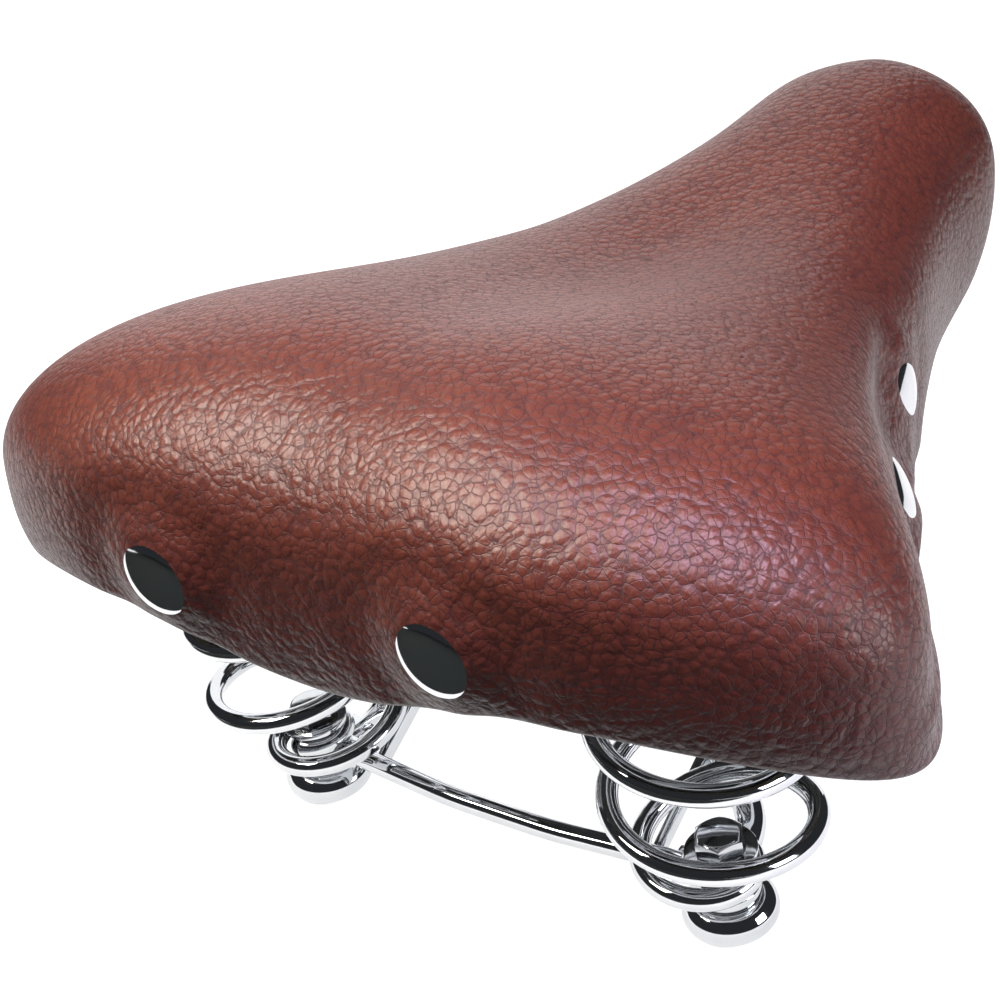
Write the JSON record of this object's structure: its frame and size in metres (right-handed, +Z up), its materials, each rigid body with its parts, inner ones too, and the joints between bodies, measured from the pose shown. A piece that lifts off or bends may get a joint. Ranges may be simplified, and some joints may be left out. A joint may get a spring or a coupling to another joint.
{
  "type": "bicycle saddle",
  "caption": "Wide sprung bicycle saddle: padded riveted cover on a base shell, coil springs, chromed wire rails, nose hinge and seat-post clamp.",
  "frame": {"origin": "centre of the seat-post clamp bore", "axes": "+X forward to the saddle's nose, +Y to the rider's left, +Z up, away from the seat post"},
  "size_m": [0.2728, 0.2336, 0.1383],
  "materials": {
    "cover_leather": "semi-gloss pebble grain",
    "foam": "open-cell foam",
    "shell_plastic": "moulded, fine texture",
    "chrome": "polished chrome plate",
    "zinc_steel": "zinc plated"
  },
  "bodies": {
    "post_clamp": {"clamp_band": "chrome"},
    "carriage": {"clamp_spacers": "zinc_steel", "inner_plate_left": "chrome", "inner_plate_right": "chrome", "outer_plate_left": "chrome", "outer_plate_right": "chrome", "clamp_bolt": "chrome", "clamp_washers": "zinc_steel", "clamp_nut": "chrome"},
    "frame": {"seat_rails": "chrome", "cross_bar": "chrome", "rail_braces": "chrome", "foot_bolts": "chrome", "foot_washers": "chrome", "foot_nuts": "zinc_steel", "spring_cup_left": "chrome", "spring_cup_right": "chrome", "spring_left": "chrome", "spring_right": "chrome"},
    "seat": {"cover": "cover_leather", "foam_pad": "foam", "side_padding": "foam", "base_shell": "shell_plastic", "rear_rivets": "chrome", "side_rivets": "chrome", "rivet_washers": "zinc_steel", "nose_plate": "zinc_steel", "nose_clip": "chrome", "nose_screws": "zinc_steel", "nose_nuts": "zinc_steel", "spring_strap_left": "zinc_steel", "spring_strap_right": "zinc_steel", "strap_bolts": "zinc_steel", "strap_nuts": "zinc_steel"}
  },
  "joints": [
    {"name": "tilt", "type": "hinge", "parent": "post_clamp", "child": "carriage", "pos_m": [-0.019, 0, 0], "axis": [0, 1, 0], "range_deg": [-15, 20]},
    {"name": "fore_aft", "type": "slide", "parent": "carriage", "child": "frame", "axis": [1, 0, 0], "range_m": [-0.012, 0.012]},
    {"name": "suspension", "type": "hinge", "parent": "frame", "child": "seat", "pos_m": [0.085, 0, 0.0515], "axis": [0, -1, 0], "range_deg": [0, 5], "stiffness_Nm_per_rad": 1600, "deforming": ["spring_left", "spring_right"]}
  ]
}
